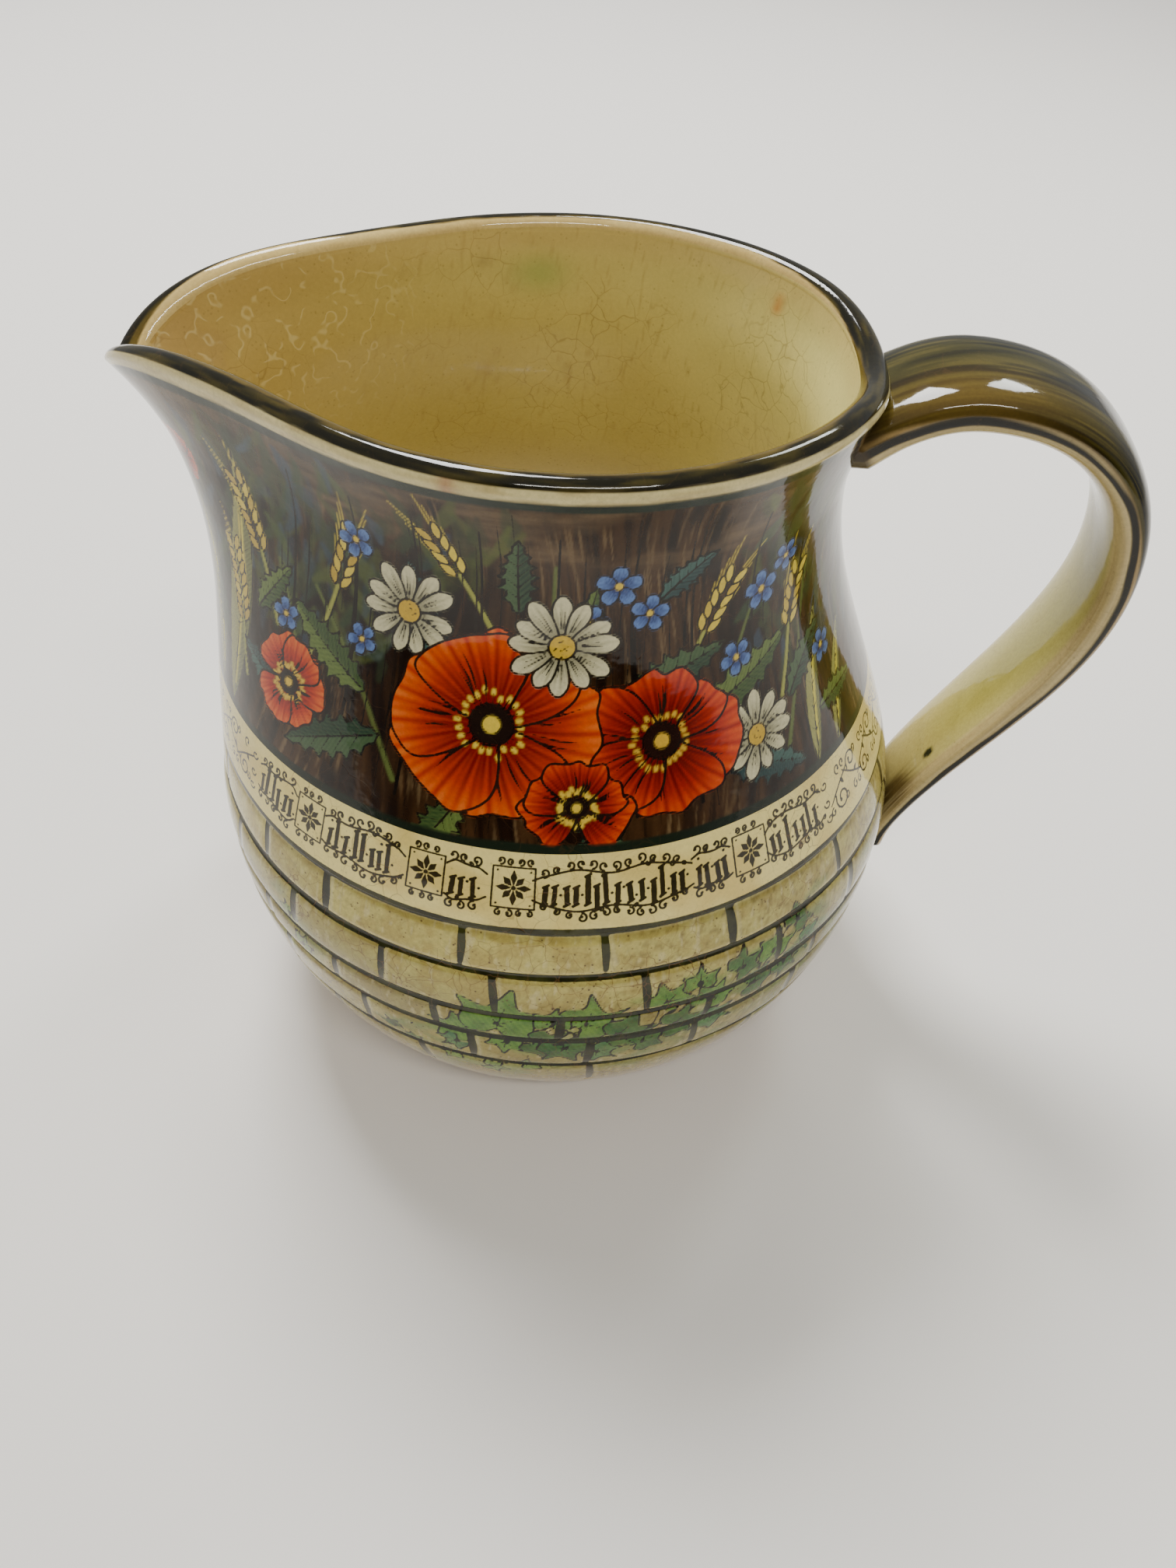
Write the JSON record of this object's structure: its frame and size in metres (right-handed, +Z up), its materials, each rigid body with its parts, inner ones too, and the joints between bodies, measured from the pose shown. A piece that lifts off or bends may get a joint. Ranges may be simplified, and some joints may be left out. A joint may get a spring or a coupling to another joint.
{
  "type": "pitcher",
  "caption": "Glazed earthenware pitcher: hollow pear-shaped body drawn out into a spout, strap handle, brick-course relief round the belly.",
  "frame": {"origin": "on the table, under the middle of the overall length and width; the body's axis is 10.8 mm along -X from it", "axes": "+Z up out of the mouth, +X towards the handle, -X towards the spout"},
  "size_m": [0.1772, 0.1372, 0.1456],
  "materials": {
    "glaze": "glossy crazed glaze over painted earthenware"
  },
  "bodies": {
    "root": {"pitcher": "glaze"}
  },
  "joints": []
}
